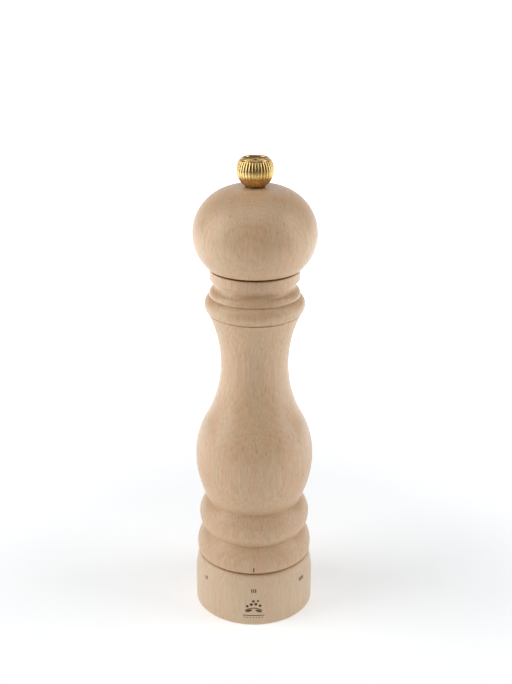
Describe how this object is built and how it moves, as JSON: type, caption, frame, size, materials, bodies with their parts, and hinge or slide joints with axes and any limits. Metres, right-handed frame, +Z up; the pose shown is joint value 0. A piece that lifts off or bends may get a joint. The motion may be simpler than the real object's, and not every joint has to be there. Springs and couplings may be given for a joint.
{
  "type": "pepper mill",
  "caption": "Tall turned beech pepper mill: domed head with a fluted brass knob, beaded body, and a turning base ring that sets the grind of a steel conical burr.",
  "frame": {"origin": "centre of the face that the mill stands on", "axes": "+Z up along the axis of rotation; -Y faces the viewer, with the pointer and the resting setting"},
  "size_m": [0.057, 0.057, 0.2214],
  "materials": {
    "beech": "turned beech, matt clear lacquer",
    "black_plastic": "moulded acetal, fine satin",
    "hardened_steel": "case-hardened, cut teeth",
    "dark_steel": "spring steel, blued",
    "steel": "zinc plated, drawn",
    "nylon": "natural nylon",
    "brass": "polished, gold lacquered"
  },
  "bodies": {
    "body": {"body_wood": "beech", "mechanism_housing": "black_plastic", "housing_screws": "steel", "outer_burr": "hardened_steel", "guide_bridge": "steel", "bridge_screws": "steel", "detent_balls": "steel", "detent_springs": "steel", "retaining_ring": "dark_steel"},
    "select_ring": {"base_ring": "beech", "ring_insert": "black_plastic"},
    "adjuster": {"adjuster_bar": "steel", "follower_pins": "steel", "thrust_washer": "nylon", "return_spring": "steel"},
    "spindle": {"spindle": "steel", "spindle_collar": "dark_steel", "collar_pin": "steel"},
    "grinding_cone": {"inner_burr": "hardened_steel"},
    "head": {"head_wood": "beech", "drive_plate": "steel", "drive_plate_screws": "steel"},
    "knob_seat": {"knob_washer": "nylon"},
    "knob": {"knob": "brass"}
  },
  "joints": [
    {"name": "ring_turn", "type": "hinge", "parent": "body", "child": "select_ring", "pos_m": [0, 0, 0.0266], "axis": [0, 0, 1], "range_deg": [-162, 108]},
    {"name": "adjuster_lift", "type": "slide", "parent": "body", "child": "adjuster", "axis": [0, 0, 1], "range_m": [-0.0018, 0.0012], "deforming": ["return_spring"]},
    {"name": "head_turn", "type": "hinge", "parent": "body", "child": "spindle", "pos_m": [0, 0, 0.1716], "axis": [0, 0, 1], "continuous": true},
    {"name": "cone_turn", "type": "hinge", "parent": "adjuster", "child": "grinding_cone", "pos_m": [0, 0, 0.0144], "axis": [0, 0, 1], "continuous": true},
    {"name": "head_lift", "type": "slide", "parent": "spindle", "child": "head", "axis": [0, 0, 1], "range_m": [0, 0.06]},
    {"name": "knob_rise", "type": "slide", "parent": "head", "child": "knob_seat", "axis": [0, 0, 1], "range_m": [0, 0.0084]},
    {"name": "knob_turn", "type": "hinge", "parent": "knob_seat", "child": "knob", "pos_m": [0, 0, 0.2154], "axis": [0, 0, 1], "range_deg": [0, 3780]}
  ],
  "couplings": [
    {"joint": "ring_turn", "follows": "adjuster_lift", "rad_per_m": 1570.8},
    {"joint": "cone_turn", "follows": "head_turn", "ratio": 1},
    {"joint": "knob_turn", "follows": "knob_rise", "rad_per_m": 7854}
  ]
}
